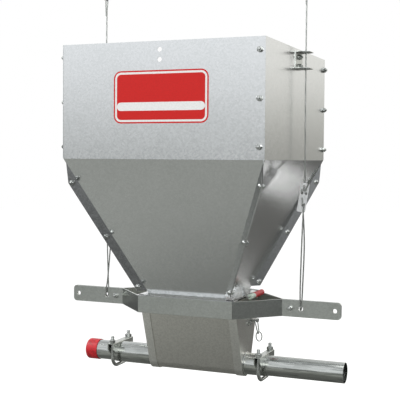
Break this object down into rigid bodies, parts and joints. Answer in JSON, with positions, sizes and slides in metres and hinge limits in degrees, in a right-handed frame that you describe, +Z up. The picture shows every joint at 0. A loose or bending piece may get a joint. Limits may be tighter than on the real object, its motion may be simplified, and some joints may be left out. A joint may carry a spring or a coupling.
{
  "type": "feed hopper",
  "caption": "Suspended galvanised feed hopper: square box over a tapered cone, slide gate, hanger straps, auger boot with tubes, clamps and steel suspension cables",
  "frame": {"origin": "the hanging point, midway between the two ceiling hooks", "axes": "+Z up, +X along the auger tube towards its open end, +Y to the back"},
  "size_m": [0.6557, 0.4622, 0.8702],
  "materials": {
    "galvanised_sheet": "galvanised, smooth",
    "galvanised_bar": "galvanised",
    "galvanised_tube": "galvanised",
    "zinc_fastener": "zinc plated",
    "plain_steel": "dull",
    "bright_wire": "bright zinc",
    "wire_rope": "stranded",
    "red_plastic": "satin",
    "pale_plastic": "satin"
  },
  "bodies": {
    "hopper": {"front_panel": "galvanised_sheet", "right_panel": "galvanised_sheet", "back_panel": "galvanised_sheet", "left_panel": "galvanised_sheet", "cable_guide_left": "galvanised_sheet", "cable_guide_right": "galvanised_sheet", "gate_base": "galvanised_sheet", "boot_trough": "galvanised_sheet", "boot_end_cap_left": "galvanised_sheet", "boot_end_cap_right": "galvanised_sheet", "hanger_strap_front": "galvanised_bar", "hanger_strap_back": "galvanised_bar", "clamp_saddle_left": "galvanised_bar", "clamp_saddle_right": "galvanised_bar", "adjuster_plate_left": "galvanised_bar", "adjuster_plate_right": "galvanised_bar", "auger_tube": "galvanised_tube", "anchor_tube": "galvanised_tube", "tube_collar_left": "galvanised_tube", "tube_collar_right": "galvanised_tube", "ear_bolt_left": "zinc_fastener", "ear_bolt_right": "zinc_fastener", "end_cap_stud": "zinc_fastener", "corner_fastener_front_1": "zinc_fastener", "corner_fastener_front_2": "zinc_fastener", "corner_fastener_front_3": "zinc_fastener", "corner_fastener_right_1": "zinc_fastener", "corner_fastener_right_2": "zinc_fastener", "corner_fastener_right_3": "zinc_fastener", "corner_fastener_back_1": "zinc_fastener", "corner_fastener_back_2": "zinc_fastener", "corner_fastener_back_3": "zinc_fastener", "corner_fastener_left_1": "zinc_fastener", "corner_fastener_left_2": "zinc_fastener", "corner_fastener_left_3": "zinc_fastener", "clamp_nut_left_front": "zinc_fastener", "clamp_nut_left_back": "zinc_fastener", "clamp_nut_right_front": "zinc_fastener", "clamp_nut_right_back": "zinc_fastener", "gate_rail_front": "plain_steel", "gate_rail_back": "plain_steel", "anchor_bearing": "plain_steel", "u_bolt_left": "bright_wire", "u_bolt_right": "bright_wire", "ceiling_hook_left": "bright_wire", "ceiling_hook_right": "bright_wire", "hanging_cable_left": "wire_rope", "hanging_cable_right": "wire_rope", "ear_loop_left": "wire_rope", "ear_loop_right": "wire_rope"},
    "gate": {"slide_gate": "galvanised_sheet"},
    "bail": {"bail_wire": "bright_wire", "grip_sleeve": "red_plastic", "grip_ferrule": "pale_plastic"},
    "auger": {"auger_helix": "plain_steel", "auger_drive_stub": "plain_steel"},
    "lock_pin": {"lock_pin": "plain_steel", "pull_link": "plain_steel", "pull_ring": "bright_wire"},
    "end_cap": {"tube_end_cap": "red_plastic"}
  },
  "joints": [
    {"name": "gate_slide", "type": "slide", "parent": "hopper", "child": "gate", "axis": [1, 0, 0], "range_m": [0, 0.09]},
    {"name": "bail_swing", "type": "hinge", "parent": "gate", "child": "bail", "pos_m": [0.1045, 0, -0.6725], "axis": [0, -1, 0], "range_deg": [-36, 69]},
    {"name": "auger_spin", "type": "hinge", "parent": "hopper", "child": "auger", "pos_m": [0, 0, -0.838], "axis": [1, 0, 0], "continuous": true},
    {"name": "pin_pull", "type": "slide", "parent": "hopper", "child": "lock_pin", "axis": [1, 0, 0], "range_m": [0, 0.035]},
    {"name": "end_cap_pull", "type": "slide", "parent": "hopper", "child": "end_cap", "axis": [-1, 0, 0], "range_m": [0, 0.04]}
  ]
}
